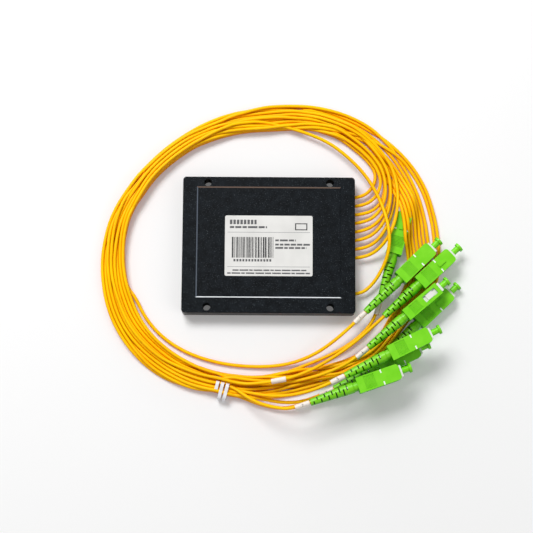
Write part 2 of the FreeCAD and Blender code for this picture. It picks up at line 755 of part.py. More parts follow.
# The route of each lead from its last point in the box wall to where it enters the coil.
FIRST_BEND_X = 53.0
STARTS = {
    "1": [(60.8, 34.6, 3.3), (63.2, 44, 2.2), (57.8, 52.4, 1.8), (48.5, 60.6, 1.8)],
    "2": [(62, 28.2, 4.4), (66, 37.5, 4.7), (63.5, 46.5, 4.6), (57.5, 54.5, 4.3), (48.2, 62.4, 4.2)],
    "3": [(63, 22.5, 3.2), (68.4, 32, 2.3), (67, 44.5, 2.0), (61, 54, 1.8), (53, 62, 1.8)],
    "4": [(63.5, 18.5, 4.4), (68.8, 30.5, 4.7), (67.3, 44.5, 4.6), (61.5, 54, 4.3), (53.5, 62, 4.2)],
    "5": [(63, 13.5, 3.2), (69.9, 24, 2.3), (71.4, 35.5, 2.0), (69.2, 47.5, 1.8), (58.5, 62, 1.8)],
    "6": [(63, 8.5, 4.4), (69.7, 19.5, 4.8), (71.7, 32.5, 4.7), (69.4, 47.5, 4.4), (58.8, 62, 4.2)],
    "7": [(62.5, 2.5, 3.4), (69, 12, 2.6), (73.2, 24, 2.3), (74.4, 36.5, 2.0), (71.8, 48.8, 1.8),
          (62.5, 61.5, 1.8)],
    "8": [(62, -3.5, 5.5), (68.5, 3.5, 9.6), (72.8, 13, 10.0), (75.2, 24.5, 7.6), (75, 37, 4.9),
          (71.8, 49, 4.3), (62.5, 61.5, 4.2)],
    "in": [(60, -22.5, 4.6), (65.6, -14, 6.5), (69, -5, 10.2), (69.8, 4, 12.4), (68.7, 13.5, 10.5),
           (66.3, 23, 7.6), (62, 33, 6.6), (55.7, 43.3, 6.0), (46.8, 52.8, 5.6), (35.5, 62, 5.0),
           (22, 68, 4.4), (8.5, 72, 4.0), (-5, 75, 4.0)],
}

# The route from a straight run behind each boot to where the lead enters the coil again.
FIRST_RUN = 11.0
ENDS = {
    "1": [(38, -55.5, 7.4), (27, -63, 5.0), (14.5, -68, 3.0), (1.5, -70, 1.8), (-12, -70, 1.4),
          (-25.5, -68.6, 1.4), (-38.5, -65.4, 1.4), (-50.5, -60.4, 1.4), (-61.5, -53, 1.4),
          (-71, -42.5, 1.6)],
    "2": [(48, -57.6, 7.4), (36, -66, 7.0), (22.5, -73.5, 7.4), (9, -78, 8.1), (-4, -80, 8.1),
          (-15, -80.5, 5.2)],
    "3": [(36.5, -73, 9.5), (23.5, -77, 6.5), (10, -79.5, 4.4), (-1, -80.5, 3.6)],
    "4": [(48, -75, 3.2), (36.5, -76, 3.0), (25.5, -78, 3.0)],
    "5": [(22.3, -85.6, 17.6), (11, -87.6, 13.8), (0, -87.4, 9.4), (-11, -85.2, 5.0)],
    "6": [(17, -91.2, 10.2), (5.8, -90.8, 7.4), (-5, -88.2, 4.2)],
    "7": [(4.5, -94.6, 16.6), (-4.5, -92, 12.2), (-12.5, -87.6, 7.9), (-19.2, -82.3, 4.2)],
    "8": [(4.5, -95.2, 3.0), (-6.5, -93, 2.4), (-16.5, -87, 2.2)],
    "in": [(54.8, -50.6, 3.6), (45.8, -57.8, 3.4), (35.8, -63.2, 3.1), (25, -67.8, 2.9), (13, -72.6, 2.8),
           (0.5, -76.8, 2.8), (-12, -79.6, 2.8)],
}

# How far along its lead each marker lies behind the boot, where it doesn't stay at the boot.
MARKER_DISTANCES = {"2": 73.0}


def plug_placement(name):
    """Where a plug's own frame lies: Z along the plug and Y towards its key."""
    at_x, at_y, turn, height, roll = PLUGS[name]
    turn, roll = math.radians(turn), math.radians(roll)
    along = Vector(math.cos(turn), math.sin(turn), 0)
    right = Vector(math.sin(turn), -math.cos(turn), 0)
    key_way = Vector(0, 0, 1) * math.cos(roll) + right * math.sin(roll)
    rotation = FreeCAD.Rotation(key_way.cross(along), key_way, along, "ZYX")
    return FreeCAD.Placement(Vector(at_x, at_y, height), rotation)


def start_points(name):
    """The lead's route from its glued end inside the box to the coil."""
    line = exit_y(name)
    height = size("seam_height")
    return [Vector(jacket_start_x(), line, height), Vector(FIRST_BEND_X, line, height),
            *(Vector(*point) for point in STARTS[name])]


def end_points(name):
    """The lead's route from just inside its boot back to the coil."""
    placement = plug_placement(name)
    tail = -size("boot_end")
    return [placement.multVec(Vector(0, 0, tail + 1)), placement.multVec(Vector(0, 0, tail - FIRST_RUN)),
            *(Vector(*point) for point in ENDS[name])]


def along_wire(wire, distance):
    """The point and the tangent at a distance along a wire."""
    for edge in wire.OrderedEdges:
        if distance <= edge.Length:
            where = edge.getParameterByLength(distance)
            return edge.valueAt(where), edge.tangentAt(where)
        distance -= edge.Length
    raise ValueError("the distance is longer than the wire")


def make_cord(name):
    """The two free stretches of a lead, from the box to the coil and from the coil to the boot."""
    bars = []
    for points in (start_points(name), end_points(name)):
        wire, radii = route_wire(points)
        bars.append(swept(wire, size("jacket_radius")))
        print(f"cord_{name}: length {wire.Length:.1f}, least radius {min(radii):.1f}, "
              f"lowest {bars[-1].BoundBox.ZMin:.2f}")
    return new_shape("cord_" + name, Part.makeCompound(bars))


def marker_placement(name):
    wire, radii = route_wire(end_points(name))
    near = 1 + size("marker_gap") + size("marker_length") / 2
    point, along = along_wire(wire, MARKER_DISTANCES.get(name, near))
    return FreeCAD.Placement(point, FreeCAD.Rotation(Vector(0, 0, 1), along))


# ---------------------------------------------------------------- coil and tie

def rounded_bar(width, height, round_radius, length, bottom):
    """A bar along Y with a rounded rectangular section about X = 0, its underside at a height."""
    block = Part.makeBox(width, length, height, Vector(-width / 2, -length / 2, bottom))
    long_edges = [edge for edge in block.Edges if edge.BoundBox.YLength > length / 2]
    return block.makeFillet(round_radius, long_edges)


def at_tie(shape):
    """Move a shape that is made about the tie's own middle to where the tie holds the coil."""
    shape.rotate(Vector(0, 0, 0), Vector(0, 0, 1), size("tie_turn"))
    shape.translate(Vector(size("tie_x"), size("tie_y"), 0))
    return shape


def ellipse_face(name):
    """The area inside one of the coil's two ellipses."""
    centre = Vector(size(name + "_x"), size(name + "_y"), 0)
    outline = Part.Ellipse(centre, size(name + "_long"), size(name + "_short")).toShape()
    outline.rotate(centre, Vector(0, 0, 1), size(name + "_turn"))
    return Part.Face(Part.Wire(outline))


def make_coil():
    """The outer shape of the coil: a flat ring with rounded edges that lies lower where it is thin."""
    height, low = size("coil_height"), size("coil_low_height")
    ring = ellipse_face("coil_outer").cut(ellipse_face("coil_inner")).extrude(Vector(0, 0, height))
    rims = [edge for edge in ring.Edges if edge.BoundBox.ZLength < 1e-6]
    ring = ring.makeFillet(size("coil_round"), rims)
    # east of the box the turns spread into a single layer, so the ring slopes down to it
    reach = 2 * size("coil_outer_long")
    slope = [(-reach, 0), (-reach, height), (size("slope_start_x"), height), (size("slope_end_x"), low),
             (reach, low), (reach, 0)]
    corners = [Vector(across, -reach, up) for across, up in slope + slope[:1]]
    ring = ring.common(Part.Face(Part.makePolygon(corners)).extrude(Vector(0, 2 * reach, 0)))
    # a bay in the inner side leaves room for the input plug's nose and its cap
    bay = Part.makeCylinder(size("bay_radius"), 2 * height, Vector(size("bay_x"), size("bay_y"), -1))
    ring = ring.cut(bay)
    # the tie goes down through the ring and draws its outer turns in
    zone_length = size("tie_wraps") * size("tie_pitch") + 1
    inner_side = size("tied_width") / 2 + size("tie_thickness") + 2 * size("tie_play")
    zone = Part.makeBox(inner_side + 15, zone_length, 20, Vector(-inner_side, -zone_length / 2, -5))
    waist = rounded_bar(size("tied_width"), size("tied_height"), 1.5, 2 * zone_length,
                        (height - size("tied_height")) / 2)
    return new_shape("coil", ring.cut(at_tie(zone.cut(waist))))


def make_twist_tie():
    """Three wraps of flat tie wire around the coil's outer turns; the first stops halfway over them."""
    wraps = []
    for number in range(int(size("tie_wraps"))):
        skins = []
        for gap, length in ((size("tie_play") + size("tie_thickness"), size("tie_width")),
                            (size("tie_play"), 2 * size("tie_width"))):
            skins.append(rounded_bar(size("tied_width") + 2 * gap, size("tied_height") + 2 * gap, 1.5 + gap,
                                     length, (size("coil_height") - size("tied_height")) / 2 - gap))
        wrap = skins[0].cut(skins[1])
        if number == 0:
            wrap = wrap.cut(Part.makeBox(20, 20, 20, Vector(0, -10, -10)))
        wrap.translate(Vector(0, (number - (size("tie_wraps") - 1) / 2) * size("tie_pitch"), 0))
        wraps.append(at_tie(wrap))
    return new_shape("twist_tie", Part.makeCompound(wraps))


# ---------------------------------------------------------------- put together

def placed(label, master, placement):
    """A copy of a piece at its own place."""
    copy = doc.addObject("Part::Compound", label)
    copy.Label = label
    copy.Links = [master]
    copy.Placement = placement
    return copy


def row_of(label, master, placements):
    """One sub-part of equal pieces, each with its own place."""
    row = doc.addObject("Part::Compound", label)
    row.Label = label
    row.Links = [placed(f"{label}_{name}", master, placement) for name, placement in placements.items()]
    return row


def assemble():
    parts = [make_base_shell(), make_lid(), make_label(), make_cable_anchors(), make_splitter_sleeve(),
             make_splitter_chip(), make_fibres_out(), make_fibre_in(), make_coil(), make_twist_tie()]
    places = {name: plug_placement(name) for name in PLUGS}
    single = {"housing": make_housing(), "ferrule": make_ferrule(), "cap": make_cap(),
              "boot": make_boot()}
    for kind, master in single.items():
        parts += [placed(f"{kind}_{name}", master, place) for name, place in places.items()]
    parts += [make_cord(name) for name in PLUGS]
    rows = {"plug_frames": make_plug_frame(), "backbones": make_backbone(),
            "crimp_sleeves": make_crimp_sleeve(), "ferrule_springs": make_ferrule_spring()}
    parts += [row_of(label, master, places) for label, master in rows.items()]
    markers = {name: marker_placement(name) for name in PLUGS}
    parts.append(row_of("cable_markers", make_cable_marker(), markers))
    doc.recompute()
    return parts


def check(parts):
    """Stop if any object failed or any sub-part's shape is missing or not valid."""
    for made in doc.Objects:
        if {"Invalid", "Error"} & set(made.State):
            raise ValueError(f"{made.Label} is {made.State}")
    for made in parts:
        if made.Shape.isNull() or not made.Shape.isValid() or not made.Shape.Solids:
            raise ValueError(f"{made.Label} has no valid shape")


def export(parts):
    os.makedirs("parts", exist_ok=True)
    for made in parts:
        made.Shape.exportStep(f"parts/{made.Label}.step")
    print(f"{len(parts)} sub-parts written")


PARTS = assemble()
check(PARTS)
export(PARTS)
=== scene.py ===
import json
import math

import bmesh
import bpy
import numpy as np
from mathutils import Matrix, Vector


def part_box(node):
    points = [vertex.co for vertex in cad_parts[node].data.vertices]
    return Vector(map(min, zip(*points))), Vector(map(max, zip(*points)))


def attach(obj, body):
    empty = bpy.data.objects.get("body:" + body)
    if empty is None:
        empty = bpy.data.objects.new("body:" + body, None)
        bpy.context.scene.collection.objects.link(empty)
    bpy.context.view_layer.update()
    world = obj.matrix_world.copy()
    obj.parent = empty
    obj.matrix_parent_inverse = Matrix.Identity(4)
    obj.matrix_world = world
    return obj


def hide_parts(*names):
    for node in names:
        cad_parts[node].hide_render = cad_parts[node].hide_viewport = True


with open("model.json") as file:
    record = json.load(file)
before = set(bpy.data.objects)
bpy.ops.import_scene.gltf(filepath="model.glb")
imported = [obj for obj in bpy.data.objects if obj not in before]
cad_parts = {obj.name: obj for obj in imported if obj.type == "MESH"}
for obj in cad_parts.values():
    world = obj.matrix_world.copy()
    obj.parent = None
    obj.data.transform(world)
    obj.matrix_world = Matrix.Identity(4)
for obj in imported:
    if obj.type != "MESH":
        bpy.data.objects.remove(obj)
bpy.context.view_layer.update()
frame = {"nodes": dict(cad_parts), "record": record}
MM = 0.001
UP = np.array((0, 0, 1))

# %% [markdown]
# The view looks almost straight down, from a little south of upright, so the box's south wall shows as a
# thin strip. A long lens far away keeps the box's sides nearly parallel. The direction from the focus to
# the camera comes from the elevation alone, and a very small roll sets it level.
# %% Camera
FOCUS = Vector((-0.0012, -0.0121, 0.005))
DISTANCE = 0.820
ELEVATION = math.radians(80.16)
ROLL = math.radians(0.36)

camera_data = bpy.data.cameras.new("camera")
camera_data.lens = 95.57
camera_data.sensor_width = 36.0
camera_data.clip_start = 0.01
camera = bpy.data.objects.new("camera", camera_data)
bpy.context.scene.collection.objects.link(camera)
towards_camera = Vector((0, -math.cos(ELEVATION), math.sin(ELEVATION)))
camera.location = FOCUS + towards_camera * DISTANCE
turned = towards_camera.to_track_quat("Z", "Y").to_matrix() @ Matrix.Rotation(ROLL, 3, "Z")
camera.rotation_euler = turned.to_euler()
bpy.context.scene.camera = camera
bpy.context.scene.view_settings.view_transform = "Standard"

# %% [markdown]
# ## Wiring a material in Python
#
# A finish is a net of nodes. It could be clicked together, but a formula is easier to read: `Wire` wraps
# the output of a node, and each operator on it adds one Math node. `Paint` starts a material with its
# Principled shader and has the one method that adds every other kind of node.
# %% Wire and Paint
class Wire:
    """The output of a node that Python can reckon with."""

    def __init__(self, paint, socket):
        self.paint = paint
        self.socket = socket

    def reckon(self, operation, *values):
        return self.paint.node("ShaderNodeMath", {"operation": operation}, dict(enumerate(values)))

    def __add__(self, other):
        return self.reckon("ADD", self, other)

    def __mul__(self, other):
        return self.reckon("MULTIPLY", self, other)

    def __sub__(self, other):
        return self.reckon("SUBTRACT", self, other)

    def __rsub__(self, other):
        return self.reckon("SUBTRACT", other, self)

    def __truediv__(self, other):
        return self.reckon("DIVIDE", self, other)

    def __gt__(self, other):
        return self.reckon("GREATER_THAN", self, other)

    def __lt__(self, other):
        return self.reckon("LESS_THAN", self, other)

    def root(self):
        return self.reckon("SQRT", self)

    def size(self):
        return self.reckon("ABSOLUTE", self)

    __radd__ = __add__
    __rmul__ = __mul__


class Paint:
    """A material with a Principled shader and a method that adds nodes in front of it."""

    def __init__(self, name):
        self.material = bpy.data.materials.new(name)
        self.material.use_nodes = True
        self.tree = self.material.node_tree
        self.shader = self.tree.nodes["Principled BSDF"]

    def feed(self, socket, value):
        """Link a wire to a socket, or set the socket to a plain value."""
        if isinstance(value, Wire):
            self.tree.links.new(value.socket, socket)
        else:
            socket.default_value = value

    def node(self, kind, settings=None, sockets=None, output=0):
        """Add a node: its settings first, then values or wires for its sockets; give one output back."""
        made = self.tree.nodes.new(kind)
        for name, value in (settings or {}).items():
            setattr(made, name, value)
        for name, value in (sockets or {}).items():
            self.feed(made.inputs[name], value)
        return Wire(self, made.outputs[output])

    def place(self):
        """Where a point lies in the object's own coordinates."""
        return self.node("ShaderNodeTexCoord", output="Object")

    def noise(self, size, detail=2.0, where=None):
        """Cloudy values about 0.5 whose blobs are about one size, in metres, across."""
        sockets = {"Vector": where or self.place(), "Scale": 1 / size, "Detail": detail}
        return self.node("ShaderNodeTexNoise", {}, sockets)

    def ramp(self, wire, low, high, low_value=0.0, high_value=1.0):
        """Move values between low and high to low_value and high_value, and hold them beyond."""
        sockets = {"Value": wire, "From Min": low, "From Max": high,
                   "To Min": low_value, "To Max": high_value}
        return self.node("ShaderNodeMapRange", {"clamp": True}, sockets)

    def blend(self, amount, first, second):
        """One colour where the amount is 0 and another where it is 1."""
        return self.node("ShaderNodeMix", {"data_type": "RGBA"}, {0: amount, 6: first, 7: second}, output=2)

    def bump(self, height, distance, strength=1.0):
        """A bump whose heights are the wire's times a distance in metres."""
        sockets = {"Height": height, "Distance": distance, "Strength": strength}
        return self.node("ShaderNodeBump", {}, sockets)

    def finish(self, **sockets):
        """Set the shader's sockets, named with underscores for spaces, and give the material back."""
        for name, value in sockets.items():
            self.feed(self.shader.inputs[name.replace("_", " ")], value)
        return self.material


def srgb(red, green, blue):
    """A colour as a screen shows it, from 0 to 255, in the linear values that shaders reckon with."""
    shown = np.array((red, green, blue)) / 255
    linear = np.where(shown <= 0.04045, shown / 12.92, ((shown + 0.055) / 1.055) ** 2.4)
    return (*linear, 1.0)


def dress(names, material):
    """Give CAD nodes, named as in the frame, a material."""
    for name in names:
        node = frame["nodes"][name]
        if not node.material_slots:
            node.data.materials.append(material)
        for slot in node.material_slots:
            slot.material = material


def new_piece(name, points, faces, material, body):
    """A mesh of points in metres and faces, with one material, which rides on a body."""
    mesh = bpy.data.meshes.new(name)
    mesh.from_pydata(points.tolist(), [], faces)
    mesh.materials.append(material)
    made = bpy.data.objects.new(name, mesh)
    bpy.context.scene.collection.objects.link(made)
    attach(made, body)


def fours(points):
    """Faces that take the points four at a time."""
    return np.arange(len(points)).reshape(-1, 4).tolist()


# %% [markdown]
# ## The leads
#
# Each lead is one open NURBS spline with a round bevel: out of the box wall, round the coil a little more
# than one and a half times, and back out of the coil into the boot of its plug. The free stretches at both
# ends are lists of points, given in millimetres. The turns in the coil are worked out,
# because eighteen strands that lie beside and on each other can't be placed by hand.
# %% Free stretches of the leads
OUTPUTS = [str(number) for number in range(1, 9)]
LEADS = OUTPUTS + ["in"]
JACKET_RADIUS = 1.0
# A lead starts inside the box, leaves its east wall at its own place and is straight up to the first bend.
INSIDE_X = 44.0
FIRST_BEND_X = 53.0
EXIT_HEIGHT = 4.0
EXIT_Y = {name: 28.9 - 5.1 * number for number, name in enumerate(OUTPUTS)}
EXIT_Y["in"] = -28.1

STARTS = {
    "1": [(60.8, 34.6, 3.3), (63.2, 44, 2.2), (57.8, 52.4, 1.8), (48.5, 60.6, 1.8)],
    "2": [(62, 28.2, 4.4), (66, 37.5, 4.7), (63.5, 46.5, 4.6), (57.5, 54.5, 4.3), (48.2, 62.4, 4.2)],
    "3": [(63, 22.5, 3.2), (68.4, 32, 2.3), (67, 44.5, 2.0), (61, 54, 1.8), (53, 62, 1.8)],
    "4": [(63.5, 18.5, 4.4), (68.8, 30.5, 4.7), (67.3, 44.5, 4.6), (61.5, 54, 4.3), (53.5, 62, 4.2)],
    "5": [(63, 13.5, 3.2), (69.9, 24, 2.3), (71.4, 35.5, 2.0), (69.2, 47.5, 1.8), (58.5, 62, 1.8)],
    "6": [(63, 8.5, 4.4), (69.7, 19.5, 4.8), (71.7, 32.5, 4.7), (69.4, 47.5, 4.4), (58.8, 62, 4.2)],
    "7": [(62.5, 2.5, 3.4), (69, 12, 2.6), (73.2, 24, 2.3), (74.4, 36.5, 2.0), (71.8, 48.8, 1.8),
          (62.5, 61.5, 1.8)],
    "8": [(62, -3.5, 5.5), (68.5, 3.5, 9.6), (72.8, 13, 10.0), (75.2, 24.5, 7.6), (75, 37, 4.9),
          (71.8, 49, 4.3), (62.5, 61.5, 4.2)],
    "in": [(60, -22.5, 4.6), (65.6, -14, 6.5), (69, -5, 10.2), (69.8, 4, 12.4), (68.7, 13.5, 10.5),
           (66.3, 23, 7.6), (62, 33, 6.6), (55.7, 43.3, 6.0), (46.8, 52.8, 5.6), (35.5, 62, 5.0),
           (22, 68, 4.4), (8.5, 72, 4.0), (-5, 75, 4.0)],
}

# The mount at a plug's tip lies PLUG_FRONT before the plug's rear, and the boot ends BOOT_END behind it.
# The lead reaches IN_BOOT into the boot, and it is straight up to FIRST_RUN behind it.
PLUG_FRONT = 25.7
BOOT_END = 28.0
IN_BOOT = 1.0
FIRST_RUN = 11.0
ENDS = {
    "1": [(38, -55.5, 7.4), (27, -63, 5.0), (14.5, -68, 3.0), (1.5, -70, 1.8), (-12, -70, 1.4),
          (-25.5, -68.6, 1.4), (-38.5, -65.4, 1.4), (-50.5, -60.4, 1.4), (-61.5, -53, 1.4),
          (-71, -42.5, 1.6)],
    "2": [(48, -57.6, 7.4), (36, -66, 7.0), (22.5, -73.5, 7.4), (9, -78, 8.1), (-4, -80, 8.1),
          (-15, -80.5, 5.2)],
    "3": [(36.5, -73, 9.5), (23.5, -77, 6.5), (10, -79.5, 4.4), (-1, -80.5, 3.6)],
    "4": [(48, -75, 3.2), (36.5, -76, 3.0), (25.5, -78, 3.0)],
    "5": [(22.3, -85.6, 17.6), (11, -87.6, 13.8), (0, -87.4, 9.4), (-11, -85.2, 5.0)],
    "6": [(17, -91.2, 10.2), (5.8, -90.8, 7.4), (-5, -88.2, 4.2)],
    "7": [(4.5, -94.6, 16.6), (-4.5, -92, 12.2), (-12.5, -87.6, 7.9), (-19.2, -82.3, 4.2)],
    "8": [(5, -94, 2.9), (-5, -91.6, 2.3), (-15.5, -87.4, 2.2)],
    "in": [(54.8, -50.6, 3.6), (45.8, -57.8, 3.4), (35.8, -63.2, 3.1), (25, -67.8, 2.9), (13, -72.6, 2.8),
           (0.5, -76.8, 2.8), (-12, -79.6, 2.8)],
}


def plug_frame(name):
    """The middle of the plug's rear face and its direction, from the mount that the record states."""
    mount = next(mount for mount in frame["record"]["mounts"] if mount["name"] == "plug_" + name)
    axis = np.array(mount["axis"], float)
    return np.array(mount["pos_m"], float) / MM - PLUG_FRONT * axis, axis


def start_route(name):
    """Straight out through the box's wall, and then along the list."""
    straight = [(x, EXIT_Y[name], EXIT_HEIGHT) for x in (INSIDE_X, FIRST_BEND_X)]
    return np.array([*straight, *STARTS[name]], float)


def end_route(name):
    """From the coil to just inside the boot, which is the list turned round."""
    rear, axis = plug_frame(name)
    tail = [rear - (BOOT_END - IN_BOOT) * axis, rear - (BOOT_END + FIRST_RUN) * axis]
    return np.array([*tail, *ENDS[name]], float)[::-1]


# %% [markdown]
# The coil's outer edge is the outer of the two ellipses that shape its solid. A direction from the coil's
# middle meets that ellipse at the positive root of a quadratic, so the outer edge is a function of the
# angle, and the inner edge lies a bundle's width, from a table, inside it. The bundle isn't equally wide:
# at the upper left the strands lie on top of each other, and east of the box they spread into a single
# layer, whose last two strands swing out beyond the ellipse.
# %% The coil's outline
MIDDLE = np.array((-0.6, -2.5))
# The ellipse's centre, its half axes and the turn of the long one. The tables are in mm by angle in
# degrees.
OUTER_ELLIPSE = (0.2, -2.2, 100.1, 85.2, 25.7)
BUNDLE_WIDTH = {5: 21.2, 17: 19.5, 30: 19.5, 50: 16.0, 70: 15.0, 88: 15.5, 105: 12.5, 125: 9.5, 147: 8.8,
                165: 10.5, 180: 13.0, 200: 15.5, 225: 16.0, 250: 15.5, 268: 14.5, 285: 15.0, 295: 12.0,
                306: 9.4, 315: 8.5, 323: 8.5, 335: 11.4, 344: 16.2, 356: 19.3}
SWING = {5: 2.2, 14: 0.5, 25: 0.0, 155: 0.0, 168: 1.2, 182: 0.6, 192: 0.0, 290: 0.0, 306: 1.8, 315: 2.5,
         323: 1.8, 330: 1.2, 336: 1.2, 341: 3.4, 345: 5.2, 349: 6.2, 355: 5.0}
STEPS_PER_TURN = 72
STEP = 360 / STEPS_PER_TURN


def ellipse_reach(ellipse, degrees):
    """Distance from MIDDLE to an ellipse: the root r of |M (q + r d)| = 1; M scales by the half axes."""
    centre_x, centre_y, half_long, half_short, turn = ellipse
    turn = math.radians(turn)
    angle = np.radians(degrees)
    direction = np.stack([np.cos(angle - turn) / half_long, np.sin(angle - turn) / half_short])
    off_x, off_y = MIDDLE - (centre_x, centre_y)
    offset = np.array([(off_x * math.cos(turn) + off_y * math.sin(turn)) / half_long,
                       (off_y * math.cos(turn) - off_x * math.sin(turn)) / half_short])[:, None]
    square = (direction ** 2).sum(axis=0)
    linear = (direction * offset).sum(axis=0)
    return (-linear + np.sqrt(linear ** 2 - square * ((offset ** 2).sum(axis=0) - 1))) / square


def by_angle(table, degrees):
    """Values between those that a table gives at some angles; the table's end joins its start."""
    return np.interp(np.atleast_1d(degrees) % 360, list(table), list(table.values()), period=360)


def outer_reach(degrees):
    """How far from MIDDLE the middle of the outermost strand lies."""
    return ellipse_reach(OUTER_ELLIPSE, np.atleast_1d(degrees)) - JACKET_RADIUS + by_angle(SWING, degrees)


def inner_reach(degrees):
    """How far from MIDDLE the middle of the innermost strand lies."""
    return outer_reach(degrees) - by_angle(BUNDLE_WIDTH, degrees) + 2 * JACKET_RADIUS


def turning(points):
    """The unwrapped angle in degrees, the distance from MIDDLE and the height of a row of points."""
    off = points[:, :2] - MIDDLE
    return np.degrees(np.unwrap(np.arctan2(off[:, 1], off[:, 0]))), np.hypot(*off.T), points[:, 2]


# %% [markdown]
# Every strand starts as a lane: a share of the bundle's width from its inner edge, 0, to its outer edge, 1.
# A lead has one lane for its first pass over the top, the left and the bottom, another for the single layer
# at the right, and a third for its second pass. It drifts from lane to lane, and slow waves cross the
# strands.
#
# Then the bundle settles, much as it does on a table: in each cross-section strands that overlap push each
# other apart, all sink a little, nothing sinks into the table or the input plug, and each strand evens out
# its own bends.
# %% Lanes
SEED = 7
chance = np.random.default_rng(SEED)
FIRST_LANES = dict(zip(LEADS, (0.30, 0.08, 0.52, 0.20, 0.64, 0.98, 0.40, 0.78, 0.03)))
EAST_LANES = dict(zip(LEADS, (0.00, 0.30, 0.12, 0.38, 0.22, 0.49, 1.00, 0.62, 0.86)))
SECOND_LANES = dict(zip(LEADS, (0.12, 0.46, 0.24, 0.58, 0.35, 0.70, 0.84, 0.91, 0.02)))
# The angles, in degrees, between which a lead changes lane, its waves die away and come back, and its
# height falls to the table and comes back.
INTO_EAST, OUT_OF_EAST = (262, 325), (375, 440)
CALM_FROM, CALM_TO = (290, 335), (375, 415)
FLAT_FROM, FLAT_TO = (330, 350), (390, 400)
# Waves across the strands: how many in a turn and how high, as a share of the bundle's width.
WAVES = ((1.0, 0.10), (2.3, 0.07), (4.1, 0.03))
LEFT_OF_WAVES = 0.15
# A strand's height before the bundle settles, in mm: a random level with a wave of its own.
LOWEST, SPREAD = 1.5, 4
HEIGHT_WAVES, HEIGHT_WAVE = 1.7, 1.2
PHASE = 6.28
# A lead joins its free stretches over these angles, counted from its first and its last point in the coil.
START_JOIN, END_JOIN = (-5, 40), (-35, 5)


def ease(angle, start, end):
    """0 before one angle and 1 after the other, with a smooth step between."""
    share = np.clip((angle - start) / (end - start), 0, 1)
    return share * share * (3 - 2 * share)


def lane_of(name, angle):
    """The lead's share of the bundle's width at each of its angles; at the right the waves die away."""
    lane = FIRST_LANES[name] + (EAST_LANES[name] - FIRST_LANES[name]) * ease(angle, *INTO_EAST)
    lane = lane + (SECOND_LANES[name] - EAST_LANES[name]) * ease(angle, *OUT_OF_EAST)
    calm = 1 - (1 - LEFT_OF_WAVES) * ease(angle, *CALM_FROM) * (1 - ease(angle, *CALM_TO))
    for waves, reach in WAVES:
        lane = lane + calm * reach * np.sin(np.radians(waves * angle) + chance.uniform(0, 2 * math.pi))
    return np.clip(lane, 0, 1)


def coil_steps(name):
    """The angles of the lead's points in the coil, a step apart, between its two free stretches."""
    start_angle = turning(start_route(name))[0][-1] % 360
    end_angle = turning(end_route(name))[0][0] % 360 + 360
    return np.arange(math.ceil(start_angle / STEP + 1), math.floor(end_angle / STEP - 1) + 1) * STEP


strands = []
for name in LEADS:
    angle = coil_steps(name)
    lane = lane_of(name, angle)
    inner, outer = inner_reach(angle), outer_reach(angle)
    reach = inner + (outer - inner) * lane
    first_reach = turning(start_route(name))[1][-1]
    last_reach = turning(end_route(name))[1][0]
    start_join, end_join = np.add(angle[0], START_JOIN), np.add(angle[-1], END_JOIN)
    reach += (first_reach - reach[0]) * (1 - ease(angle, *start_join))
    reach += (last_reach - reach[-1]) * ease(angle, *end_join)
    height = LOWEST + SPREAD * chance.random()
    height += HEIGHT_WAVE * np.sin(np.radians(HEIGHT_WAVES * angle) + chance.uniform(0, PHASE))
    flat = ease(angle, *FLAT_FROM) * (1 - ease(angle, *FLAT_TO))
    height = JACKET_RADIUS + (height - JACKET_RADIUS) * (1 - flat)
    strands.append({"name": name, "angle": angle, "reach": reach, "height": height})
print("points in the coil:", {strand["name"]: len(strand["angle"]) for strand in strands})


# %% Settle the bundle
# In each round strands that are nearer than PITCH are pushed apart, each by the share PUSH of what is
# missing, all sink by SINK, and each evens out. The last rounds even out less, so that no strands end up
# too near. A strand may pass the bundle's inner edge by EDGE_SLACK.
SETTLING_ROUNDS, LAST_ROUNDS = 420, 40
PITCH, NEAREST = 2.06, 0.05
PUSH = 0.45
SINK = 0.03
EVEN_OUT, LAST_EVEN_OUT = 0.22, 0.04
EDGE_SLACK = 0.6
# The tie reaches between two angles in degrees and two distances from MIDDLE in mm, and loose strands pass
# it at a clear distance.
TIED = {"from": 247.0, "to": 256.0, "inner": 79.9, "outer": 86.6, "clear": 2.9}
# The input plug from its rear, in mm: the reach of its housing and of its cap, how near to its axis a
# strand is lifted, and the heights that it is lifted to.
HOUSING_REACH, CAP_REACH, BESIDE = (-2, 26), (26, 35.6), 4.9
OVER_HOUSING, OVER_CAP = 8.6, 7.6
# East of the first X a strand stays under plugs that lie on the coil: places along X and heights, in mm.
EAST_CEILING = ((50, 75), (5.5, 3.2))


def fixed_strands():
    """The listed ends of the leads near the coil, read at the same angles, which the turns avoid."""
    for name in LEADS:
        angle, reach, height = turning(end_route(name))
        angle = angle + 360 * round((270 - angle[0]) / 360)
        order = np.argsort(angle)
        at = np.arange(math.ceil(angle.min() / STEP), math.floor(angle.max() / STEP) + 1) * STEP
        yield at, np.interp(at, angle[order], reach[order]), np.interp(at, angle[order], height[order])


def plug_under(x, y):
    """The lowest height for a strand's middle: on the table, or over the input plug's nose and its cap."""
    rear, axis = plug_frame("in")
    along = (x - rear[0]) * axis[0] + (y - rear[1]) * axis[1]
    aside = np.abs((x - rear[0]) * axis[1] - (y - rear[1]) * axis[0])
    on_housing = (along > HOUSING_REACH[0]) & (along < HOUSING_REACH[1]) & (aside < BESIDE)
    on_cap = (along >= CAP_REACH[0]) & (along < CAP_REACH[1]) & (aside < BESIDE)
    return np.where(on_housing, OVER_HOUSING, np.where(on_cap, OVER_CAP, JACKET_RADIUS))


def plug_over(x):
    """The highest height for a strand's middle, lower towards the plugs that lie on the coil's east."""
    return np.interp(x, *EAST_CEILING)


